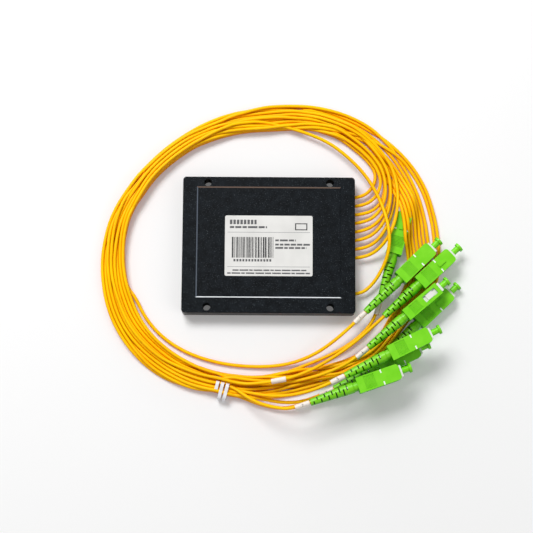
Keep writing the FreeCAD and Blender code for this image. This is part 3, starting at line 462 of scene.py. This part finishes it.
def neighbours(angle):
    """The numbers of every two points that lie in the same cross-section of the coil."""
    step = np.round(angle * STEPS_PER_TURN / 360).astype(int) % STEPS_PER_TURN
    pairs = []
    for number in range(STEPS_PER_TURN):
        here = np.flatnonzero(step == number)
        first, second = np.triu_indices(len(here), 1)
        pairs.append(np.stack([here[first], here[second]], axis=1))
    return np.concatenate(pairs)


def push_apart(across, pairs):
    """Push the points of each pair away from each other where they are nearer than the pitch."""
    gap = across[pairs[:, 0]] - across[pairs[:, 1]]
    distance = np.maximum(np.hypot(*gap.T), NEAREST)
    push = np.maximum(PITCH - distance, 0)[:, None] * gap / distance[:, None] * PUSH
    np.add.at(across, pairs[:, 0], push)
    np.add.at(across, pairs[:, 1], -push)


def settle():
    """Move the strands' points in their cross-sections: sink, even out, push apart, keep within bounds."""
    parts = [(strand["angle"], strand["reach"], strand["height"]) for strand in strands]
    fixed = list(fixed_strands())
    angle = np.concatenate([part[0] for part in parts + fixed])
    across = np.stack([np.concatenate([part[row] for part in parts + fixed]) for row in (1, 2)], axis=1)
    owner = np.repeat(np.arange(len(parts) + len(fixed)), [len(part[0]) for part in parts + fixed])
    free = owner < len(parts)
    inside = np.flatnonzero(free[1:-1] & (owner[:-2] == owner[1:-1]) & (owner[2:] == owner[1:-1])) + 1
    moves = np.isin(np.arange(len(angle)), inside)
    pairs = neighbours(angle)
    low, high = inner_reach(angle) - EDGE_SLACK, outer_reach(angle)
    bearing = np.radians(angle)
    in_tie = (angle % 360 > TIED["from"]) & (angle % 360 < TIED["to"])
    tied = in_tie & (across[:, 0] > TIED["inner"] - EDGE_SLACK)
    start = across.copy()
    for round_number in range(SETTLING_ROUNDS):
        across[moves, 1] -= SINK
        even = EVEN_OUT if round_number < SETTLING_ROUNDS - LAST_ROUNDS else LAST_EVEN_OUT
        moved = across - start
        across[inside] += even * ((moved[inside - 1] + moved[inside + 1]) / 2 - moved[inside])
        push_apart(across, pairs)
        across[:, 0] = np.clip(across[:, 0], low, high)
        across[tied, 0] = np.clip(across[tied, 0], TIED["inner"], TIED["outer"])
        across[in_tie & ~tied, 0] = np.minimum(across[in_tie & ~tied, 0], TIED["inner"] - TIED["clear"])
        x = MIDDLE[0] + across[:, 0] * np.cos(bearing)
        y = MIDDLE[1] + across[:, 0] * np.sin(bearing)
        in_east = x > EAST_CEILING[0][0]
        across[:, 1] = np.where(in_east, np.minimum(across[:, 1], plug_over(x)), across[:, 1])
        across[:, 1] = np.maximum(across[:, 1], plug_under(x, y))
        across[~moves] = start[~moves]
    gap = across[pairs[:, 0]] - across[pairs[:, 1]]
    both = moves[pairs[:, 0]] & moves[pairs[:, 1]]
    print(f"closest strands after settling: {np.hypot(*gap.T)[both].min():.2f} mm, "
          f"highest {across[moves, 1].max():.1f} mm")
    return [across[owner == number] for number in range(len(parts))]


settled = settle()


# %% [markdown]
# The three stretches of a lead become the control points of one quadratic spline. The points are set first
# and the order after them, and the end points are used, so the lead starts and ends exactly where its lists
# say.
# %% One spline for each lead
def spline_of(name, points, radius):
    """A curve object with one open quadratic NURBS spline through a row of control points in metres.

    The tube's radius is the bevel depth times the points' own radius. The depth is one metre and the points
    carry the radius, because a curve's bounding box is its points' box grown by their radius.
    """
    data = bpy.data.curves.new(name, "CURVE")
    data.dimensions = "3D"
    data.resolution_u = 8
    data.bevel_depth = 1 if radius else 0
    data.bevel_resolution = 5
    spline = data.splines.new("NURBS")
    spline.points.add(len(points) - 1)
    spline.points.foreach_set("co", np.column_stack([points, np.ones(len(points))]).ravel())
    spline.points.foreach_set("radius", np.full(len(points), radius))
    spline.order_u = 3
    spline.use_endpoint_u = True
    made = bpy.data.objects.new(name, data)
    bpy.context.scene.collection.objects.link(made)
    return made


def smooth_line(points):
    """Points close together on the spline of a row of control points, read from an unbevelled curve."""
    curve = spline_of("measure", points, 0)
    depsgraph = bpy.context.evaluated_depsgraph_get()
    mesh = bpy.data.meshes.new_from_object(curve.evaluated_get(depsgraph))
    line = np.empty(len(mesh.vertices) * 3)
    mesh.vertices.foreach_get("co", line)
    bpy.data.objects.remove(curve)
    bpy.data.meshes.remove(mesh)
    return line.reshape(-1, 3)


def length_of(line):
    """The sum of the distances between neighbouring points."""
    return float(np.linalg.norm(np.diff(line, axis=0), axis=1).sum())


cords = []
for strand, across in zip(strands, settled):
    name = strand["name"]
    bearing = np.radians(strand["angle"])
    turns = np.column_stack([MIDDLE[0] + across[:, 0] * np.cos(bearing),
                             MIDDLE[1] + across[:, 0] * np.sin(bearing), across[:, 1]])
    route = np.concatenate([start_route(name), turns, end_route(name)]) * MM
    line = smooth_line(route)
    cord = spline_of("lead_" + name, route, JACKET_RADIUS * MM)
    cord.data.use_fill_caps = True
    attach(cord, "root")
    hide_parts("cord_" + name, *(["coil"] if name == "in" else []))
    cords.append(cord)
    lowest, highest = line[:, 2].min() / MM, line[:, 2].max() / MM
    print(f"lead_{name}: {length_of(line):.3f} m, {lowest:.2f} to {highest:.2f} mm high")


# %% [markdown]
# ## Light and table
#
# A plain white table and a white world give soft light from all round, and one large lamp high at the back
# gives the jackets and the plugs their highlights. Where the camera looks straight at the table it sees it
# a little paler than it is lit, so the ground is nearly white and the shadows stay.
# %% Table, world and lamps
TABLE_RADIUS, TABLE_TOP = 3.0, -0.00005
TABLE_CORNERS = 64
CAMERA_GLOW = 0.12


def ground_finish():
    """A matt white that the camera sees a little brighter than it is lit."""
    paint = Paint("ground")
    material = paint.finish(Base_Color=srgb(244, 244, 244), Roughness=0.9, Specular_IOR_Level=0.0)
    sees = paint.node("ShaderNodeLightPath", output="Is Camera Ray") * CAMERA_GLOW
    glow = paint.node("ShaderNodeEmission", {}, {"Color": (1, 1, 1, 1), "Strength": 1.0})
    lit = Wire(paint, paint.shader.outputs["BSDF"])
    mixed = paint.node("ShaderNodeMixShader", {}, {0: sees, 1: lit, 2: glow})
    paint.feed(paint.tree.nodes["Material Output"].inputs["Surface"], mixed)
    return material


def table_top():
    """A flat disc just under the object: points at even angles on one circle about the origin."""
    angle = np.linspace(0, 2 * math.pi, TABLE_CORNERS + 1)[:-1]
    points = np.column_stack([TABLE_RADIUS * np.cos(angle), TABLE_RADIUS * np.sin(angle),
                              np.full(len(angle), TABLE_TOP)])
    mesh = bpy.data.meshes.new("table_top")
    mesh.from_pydata(points.tolist(), [], [list(range(len(angle)))])
    mesh.materials.append(ground_finish())
    made = bpy.data.objects.new("table_top", mesh)
    bpy.context.scene.collection.objects.link(made)


table_top()

world = bpy.data.worlds.new("studio")
world.use_nodes = True
world.node_tree.nodes["Background"].inputs["Color"].default_value = (1, 1, 1, 1)
world.node_tree.nodes["Background"].inputs["Strength"].default_value = 0.36
bpy.context.scene.world = world


def lamp(name, place, aim, width, depth, power):
    """A rectangular lamp at a place, in metres, that faces a point."""
    data = bpy.data.lights.new(name, "AREA")
    data.shape = "RECTANGLE"
    data.size = width
    data.size_y = depth
    data.energy = power
    made = bpy.data.objects.new(name, data)
    made.location = place
    made.rotation_euler = (Vector(place) - Vector(aim)).to_track_quat("Z", "Y").to_euler()
    bpy.context.scene.collection.objects.link(made)


lamp("key", (-0.45, 0.70, 1.15), (0, 0, 0), 0.7, 0.5, 17)
lamp("fill", (0.9, -0.5, 0.8), (0, 0, 0), 0.8, 0.8, 2)
lamp("low_back", (0.0, 1.1, 0.16), (0, 0, 0.005), 1.6, 0.30, 3)

# %% [markdown]
# ## Finishes
#
# The box is moulded from black plastic with a fine spark-eroded grain. Glints of the grain under a lamp are
# painted into its colour as pale spots. Two noises make it, one for the bump of the grain and a finer,
# sparser one for the painted glints.
# The slopes at the edges of the label's field carry painted light: a painted highlight on the slope that
# faces north, a painted warm reflection on the one that faces south and a painted grey-blue reflection on
# the one that faces east. The walls are painted a shade lighter and warmer than the top in blotches, a
# painted warm reflection, and a thin clear gloss on them shows at a grazing angle. A slope is told from the
# flat faces and the walls by how far its normal points up, and the slopes from each other by where it
# points across.
# %% The box's black plastic
FIELD_REACH = (0.046, 0.038)
WALL_UP = 0.3
SLOPE_UP = (0.5, 0.9)


def box_finish():
    """Near black with painted glints; painted light on walls and slopes, picked out by the normal's parts
    across and up.
    """
    paint = Paint("black_grained_plastic")
    grain = paint.noise(0.0007, 3)
    painted_glints = paint.ramp(paint.noise(0.00055, 1), 0.64, 0.74)
    clouds = paint.ramp(paint.noise(0.004, 3), 0.35, 0.65)
    facing = paint.node("ShaderNodeNewGeometry", output="Normal")
    east, north, up = (paint.node("ShaderNodeSeparateXYZ", {}, {0: facing}, output=axis) for axis in "XYZ")
    place_x, place_y = (paint.node("ShaderNodeSeparateXYZ", {}, {0: paint.place()}, output=axis)
                        for axis in "XY")
    in_field = (place_x.size() < FIELD_REACH[0]) * (place_y.size() < FIELD_REACH[1])
    slope = in_field * (up > SLOPE_UP[0]) * (up < SLOPE_UP[1])
    base = paint.blend(clouds, srgb(17, 20, 23), srgb(25, 29, 33))
    # Painted glints: pale spots of the grain blended into the colour, as a lamp would make them glint.
    base = paint.blend(painted_glints * 0.5, base, srgb(98, 106, 112))
    wall = (up < WALL_UP) * (1 - in_field)
    # The walls' lighter, warmer colour in blotches is a painted warm reflection; their coat is a real thin
    # gloss.
    painted_warm_reflection = paint.blend(paint.ramp(paint.noise(0.006, 2), 0.3, 0.7), srgb(34, 32, 31), srgb(46, 42, 39))
    base = paint.blend(wall, base, painted_warm_reflection)
    # Slopes of the label's field: a painted highlight where they face north, a painted warm reflection
    # where they face south, a painted grey-blue reflection where they face east.
    base = paint.blend(slope * (north > 0.5), base, srgb(226, 230, 234))
    base = paint.blend(slope * (north < -0.5), base, srgb(140, 118, 106))
    base = paint.blend(slope * (east > 0.5), base, srgb(106, 115, 128))
    return paint.finish(Base_Color=base, Roughness=paint.ramp(clouds, 0, 1, 0.46, 0.56),
                        Specular_IOR_Level=0.05, Coat_Weight=wall * 0.5, Coat_Roughness=0.3,
                        Normal=paint.bump(grain, 0.00006, 0.5))


dress(["lid", "base_shell"], box_finish())


# %% [markdown]
# The label is satin paper. What is printed on it here is only rules and bars: a row of blocks for a
# heading, two thin rules, a set of upright bars, an empty frame and broken lines where small print would
# stand. Each is a flat rectangle a hair above the paper, and all of one tone are one mesh.
# %% The label and its print
HAIR = 0.00002


def paper_finish():
    """Off-white with slow clouds and a fine bump of fibres."""
    paint = Paint("label_paper")
    fibres = paint.noise(0.0005, 4)
    tone = paint.ramp(paint.noise(0.012, 2), 0.3, 0.7)
    base = paint.blend(tone, srgb(216, 215, 212), srgb(226, 225, 222))
    return paint.finish(Base_Color=base, Roughness=0.55, Specular_IOR_Level=0.3,
                        Normal=paint.bump(fibres, 0.00001, 0.4))


def ink_finish(name, tone):
    """Printing ink of one grey, which covers a little unevenly."""
    paint = Paint(name)
    base = paint.blend(paint.ramp(paint.noise(0.0008, 2), 0.3, 0.7), srgb(tone, tone, tone + 2),
                       srgb(tone + 14, tone + 14, tone + 16))
    return paint.finish(Base_Color=base, Roughness=0.5, Specular_IOR_Level=0.3)


def corners_of(boxes, height):
    """The corners of flat rectangles (left, bottom, right, top), four rows for each, all facing up."""
    left, bottom, right, top = np.asarray(boxes, float).T
    level = np.full(len(left), height)
    corners = [(left, bottom, level), (right, bottom, level), (right, top, level), (left, top, level)]
    return np.stack([np.stack(corner, axis=1) for corner in corners], axis=1).reshape(-1, 3)


def in_pieces(rng, left, right, bottom, top, pieces, gaps):
    """Rectangles of chosen lengths from left to right, with chosen gaps between them."""
    while left < right:
        length = min(rng.choice(pieces), right - left)
        yield left, bottom, left + length, top
        left += length + rng.choice(gaps)


def label_print(name, shares, tone):
    """Print of one tone on the label, whose boxes are shares of the label's width and height."""
    low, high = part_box("label")
    wide, tall = high.x - low.x, high.y - low.y
    placed = np.array(list(shares)) * (wide, tall, wide, tall) + (low.x, low.y, low.x, low.y)
    points = corners_of(placed, high.z + HAIR)
    new_piece(name, points, fours(points), ink_finish(name + "_ink", tone), "root")


printer = np.random.default_rng(3)
upright = [*in_pieces(printer, 0.080, 0.552, 0.300, 0.643, (0.006, 0.010, 0.015), (0.006, 0.008, 0.013))]
frame_lines = [(0.80, 0.86, 0.94, 0.875), (0.80, 0.76, 0.94, 0.775), (0.80, 0.76, 0.812, 0.875),
               (0.928, 0.76, 0.94, 0.875)]
small = [*in_pieces(printer, 0.055, 0.48, 0.790, 0.824, (0.05, 0.07, 0.11), (0.012,))]
for low, right in ((0.575, 0.81), (0.505, 0.97), (0.450, 0.93)):
    small += in_pieces(printer, 0.575, right, low, low + 0.030, (0.04, 0.06, 0.09), (0.012,))
small += in_pieces(printer, 0.09, 0.93, 0.084, 0.106, (0.04, 0.07, 0.10), (0.010,))
small += in_pieces(printer, 0.03, 0.97, 0.034, 0.057, (0.04, 0.07, 0.10), (0.010,))
small += in_pieces(printer, 0.10, 0.54, 0.238, 0.278, (0.022,), (0.012,))
small += in_pieces(printer, 0.055, 0.36, 0.855, 0.930, (0.028,), (0.012,))
rules = [(0.03, 0.718, 0.97, 0.726), (0.03, 0.148, 0.97, 0.156)]


dress(["label"], paper_finish())
label_print("label_bars", upright + frame_lines, 34)
label_print("label_small_print", small, 84)
label_print("label_rules", rules, 150)


# %% [markdown]
# The jackets are yellow-orange and a little glossy. Their lit top is painted nearly yellow and their sides
# a deep
# orange: painted light and shade, which follows how the surface faces, so the higher the normal points, the
# yellower the colour. Faint waves of extruded tube lie over it.
# %% Jackets
def jacket_finish():
    """Painted light and shade: yellow above, deep orange at the sides, by how far the normal points up."""
    paint = Paint("orange_jacket")
    facing = paint.node("ShaderNodeNewGeometry", output="Normal")
    up = paint.node("ShaderNodeSeparateXYZ", {}, {0: facing}, output="Z")
    tone = paint.ramp(paint.noise(0.02, 2), 0.3, 0.7)
    lit = paint.blend(tone, srgb(255, 192, 0), srgb(255, 206, 0))
    # Painted light and shade: the top is yellower, the sides a deeper orange.
    base = paint.blend(paint.ramp(up, 0.0, 0.9), srgb(234, 112, 0), lit)
    ripple = paint.noise(0.0012, 2)
    return paint.finish(Base_Color=base, Roughness=0.4, Specular_IOR_Level=0.1,
                        Normal=paint.bump(ripple, 0.00001, 0.5))


jacket = jacket_finish()
for cord in cords:
    cord.data.materials.append(jacket)
dress(["cord_" + name for name in LEADS] + ["coil"], jacket)


# %% [markdown]
# Everything green on the plugs is one family of colours. The grip housings are satin, the boots reflect a
# little more, and the dust caps are the smoothest and the purest green. Behind all three is one recipe: a
# slow change of tone, a fine grain, painted light and shade that makes the green yellower where the surface
# faces up and deeper on its sides, and a roughness that follows the tone.
# %% Plugs and caps
def green_finish(name, dark, light, side, roughness, specular, slit_shade=None):
    """Two tones above and a third at the sides as painted side shade, and darker painted shade where the
    slit mask says so.
    """
    paint = Paint(name)
    tone = paint.ramp(paint.noise(0.006, 3), 0.3, 0.7)
    facing = paint.node("ShaderNodeNewGeometry", output="Normal")
    up = paint.node("ShaderNodeSeparateXYZ", {}, {0: facing}, output="Z")
    # The colour at the sides is painted shade.
    base = paint.blend(paint.ramp(up, 0.1, 0.9), side, paint.blend(tone, dark, light))
    if slit_shade:
        # Painted shade deep in the boot's slit, where no light reaches.
        base = paint.blend(slit_shade(paint), base, srgb(20, 58, 4))
    return paint.finish(Base_Color=base, Specular_IOR_Level=specular,
                        Roughness=paint.ramp(tone, 0, 1, roughness - 0.03, roughness + 0.05),
                        Normal=paint.bump(paint.noise(0.0004, 2), 0.00001, 0.5))


# The third green in each call is the painted shade at the sides.
dress(["housing_" + name for name in LEADS],
      green_finish("housing_green", srgb(116, 212, 30), srgb(130, 222, 42), srgb(80, 190, 14), 0.32, 0.2))
dress(["cap_" + name for name in LEADS],
      green_finish("cap_green", srgb(116, 214, 14), srgb(128, 224, 24), srgb(92, 196, 6), 0.28, 0.3))

# %% [markdown]
# Each boot is slit from alternate sides, and no light reaches the bottom of a slit. The colour darkens
# there: a Mapping node turns and moves the place of a point into the boot's own frame, whose Z runs along
# the plug. There the boot is a cone, and a point that lies deeper than the cone's surface at its Z is
# inside a slit.
# %% Boots with painted shade deep in each slit
# In mm from the plug's rear: where the boot is widest, its radii there and at its end, how deep in it is
# dark, over what depth it gets dark, and how much at its end stays clear.
BOOT_WIDE_Z, BOOT_WIDE_RADIUS = -6.3, 3.1
BOOT_TAIL_RADIUS = 1.9
SLIT_DEEP, SLIT_EDGE = 0.32, 0.12
TAIL_CLEAR = 0.2


def in_slit(name):
    """A mask of painted shade for one boot's material: 1 where a point is deeper than SLIT_DEEP under the
    boot's cone.
    """
    rear, along = plug_frame(name)
    right = np.array((along[1], -along[0], 0))
    turn = Matrix(np.array([right, np.cross(along, right), along]).tolist())
    place = -(turn @ Vector(rear * MM))

    def mask(paint):
        sockets = {"Vector": paint.place(), "Location": place, "Rotation": turn.to_euler()}
        local = paint.node("ShaderNodeMapping", {"vector_type": "POINT"}, sockets)
        x, y, z = (paint.node("ShaderNodeSeparateXYZ", {}, {0: local}, output=axis) / MM
                   for axis in "XYZ")
        surface = paint.ramp(z, -BOOT_END, BOOT_WIDE_Z, BOOT_TAIL_RADIUS, BOOT_WIDE_RADIUS)
        depth = surface - (x * x + y * y).root()
        deep = paint.ramp(depth, SLIT_DEEP - SLIT_EDGE, SLIT_DEEP)
        return deep * (z < BOOT_WIDE_Z) * (z > TAIL_CLEAR - BOOT_END)

    return mask


# The third green of each boot is painted side shade.
for name in LEADS:
    dress(["boot_" + name], green_finish("boot_green_" + name, srgb(116, 204, 16), srgb(132, 216, 26),
                                         srgb(64, 168, 6), 0.34, 0.35, slit_shade=in_slit(name)))


# %% [markdown]
# The rest of the plug is white or ceramic, and the pieces inside the box are seen only when it is opened.
# Each still has the finish of what it is made of.
# %% White plastic, ceramic, steel and glass
def plain_finish(name, dark, light, roughness, blob=0.004, metallic=0.0):
    """A colour that drifts a little between two tones, with a fine grain."""
    paint = Paint(name)
    tone = paint.ramp(paint.noise(blob, 2), 0.3, 0.7)
    return paint.finish(Base_Color=paint.blend(tone, dark, light), Metallic=metallic,
                        Roughness=paint.ramp(tone, 0, 1, roughness, roughness + 0.07),
                        Normal=paint.bump(paint.noise(0.0004, 2), 0.00001, 0.5))


dress(["plug_frames"], plain_finish("white_frame", srgb(226, 226, 220), srgb(238, 238, 233), 0.35))
dress(["cable_markers"], plain_finish("marker_white", srgb(226, 216, 206), srgb(238, 230, 220), 0.4))
dress(["twist_tie"], plain_finish("tie_white", srgb(220, 220, 224), srgb(236, 236, 240), 0.35))
dress(["ferrule_" + name for name in LEADS],
      plain_finish("zirconia", srgb(236, 234, 228), srgb(246, 244, 240), 0.12))
dress(["ferrule_springs", "crimp_sleeves", "splitter_sleeve"],
      plain_finish("brushed_steel", srgb(168, 168, 172), srgb(190, 190, 194), 0.28, 0.001, 1.0))
dress(["backbones", "cable_anchors"], plain_finish("dark_plastic", srgb(44, 46, 48), srgb(56, 58, 60), 0.5))
dress(["splitter_chip"], plain_finish("glass_block", srgb(198, 208, 212), srgb(214, 222, 226), 0.1))
dress(["fibres_out", "fibre_in"], plain_finish("fibre_tube", srgb(232, 232, 222), srgb(242, 242, 234), 0.3))


# %% [markdown]
# Two white dashes on each broad side of a housing show how far it is pushed into its adapter, and the
# lead's number stands on its marker. The dashes are thin plates set a hair above the grip, in the plug's
# own frame: its rear a fixed way behind the mount, its length along the mount's axis, and its roll from the
# list below.
# %% Dashes on the housings
# The grip's half width and half thickness, and the dashes' place before its rear, their reach and their
# inset from its edge, and their width, in mm. The rolls are in degrees, and a key points up at 0.
KEY_ROLLS = {"1": 180, "2": 0, "3": 90, "4": 0, "5": 180, "6": 180, "7": 180, "8": 0, "in": 0}
HALF_WIDTH = 4.5
HALF_THICKNESS = 3.7
DASH_AT = 14.2
DASH_LONG, DASH_INSET = 2.0, 0.05
DASH_WIDE = 0.75


def plug_axes(name):
    """The plug's rear in mm and, as rows, its X across the width, its Y towards the key and its Z along."""
    rear, along = plug_frame(name)
    roll = math.radians(KEY_ROLLS[name])
    right = np.array((along[1], -along[0], 0))
    key_way = UP * math.cos(roll) + right * math.sin(roll)
    return rear, np.array([np.cross(key_way, along), key_way, along])


def dashes(name):
    """Four plates: on both broad sides, from each edge inwards, across the plug."""
    rear, axes = plug_axes(name)
    lift = HALF_THICKNESS + HAIR / MM
    quads = []
    for side in (-1, 1):
        for edge in (-1, 1):
            near, far = edge * (HALF_WIDTH - DASH_INSET), edge * (HALF_WIDTH - DASH_LONG)
            corners = [(near, lift * side, DASH_AT), (far, lift * side, DASH_AT),
                       (far, lift * side, DASH_AT + DASH_WIDE), (near, lift * side, DASH_AT + DASH_WIDE)]
            quads.append(corners if side * edge > 0 else corners[::-1])
    points = (rear + np.array(quads, float).reshape(-1, 3) @ axes) * MM
    new_piece("dashes_" + name, points, fours(points), white_ink, "housing_" + name)


white_ink = plain_finish("white_ink", srgb(236, 244, 232), srgb(246, 250, 243), 0.4)
for name in LEADS:
    dashes(name)

# %% [markdown]
# The output leads' numbers stand on their markers. A digit begins as text, which Blender turns into a flat
# mesh. It is sliced into narrow bands along the tube, so that each band can lie on the round sleeve: the
# distance across becomes an angle about the sleeve's axis, and every point lies at the sleeve's radius from
# that axis.
# %% Numbers on the markers
# In mm: a marker sits MARKER_GAP behind the boot.
MARKER_GAP, MARKER_LENGTH = 0.5, 8.5
MARKER_MIDDLE = BOOT_END + MARKER_GAP + MARKER_LENGTH / 2
MARKER_RADIUS = 1.57
DIGIT_HEIGHT = 1.7
TEXT_SIZE = 1.4 * DIGIT_HEIGHT


def flat_digit(text):
    """The corners and faces of a digit about its own middle, in mm, cut into bands for bending."""
    curve = bpy.data.curves.new("digit", "FONT")
    curve.body = text
    curve.size = TEXT_SIZE
    curve.align_x = "CENTER"
    written = bpy.data.objects.new("digit", curve)
    bpy.context.scene.collection.objects.link(written)
    mesh = bpy.data.meshes.new_from_object(written.evaluated_get(bpy.context.evaluated_depsgraph_get()))
    bpy.data.objects.remove(written)
    made = bmesh.new()
    made.from_mesh(mesh)
    bpy.data.meshes.remove(mesh)
    middle = sum((vert.co for vert in made.verts), Vector()) / len(made.verts)
    for level in np.linspace(-0.4, 0.4, 5) * DIGIT_HEIGHT:
        everything = made.verts[:] + made.edges[:] + made.faces[:]
        cut = middle + Vector((0, level, 0))
        bmesh.ops.bisect_plane(made, geom=everything, plane_co=cut, plane_no=(0, 1, 0))
    made.verts.index_update()
    corners = np.array([(vert.co - middle)[:] for vert in made.verts])
    faces = [[vert.index for vert in face.verts] for face in made.faces]
    made.free()
    return corners, faces


def marker_number(name):
    """A digit bent round its marker: across the tube by angle, along it by distance, with its middle up."""
    corners, faces = flat_digit(name)
    rear, along = plug_frame(name)
    across = np.cross(UP, along)
    angle = corners[:, 1] / MARKER_RADIUS
    outwards = np.sin(angle)[:, None] * across + np.cos(angle)[:, None] * UP
    points = rear - MARKER_MIDDLE * along + corners[:, :1] * along + MARKER_RADIUS * outwards
    new_piece("number_" + name, points * MM, faces, number_ink, "root")


number_ink = ink_finish("number_ink", 40)
# The marker of lead 2 has slid back along the lead and shows no number.
for name in OUTPUTS:
    if name != "2":
        marker_number(name)
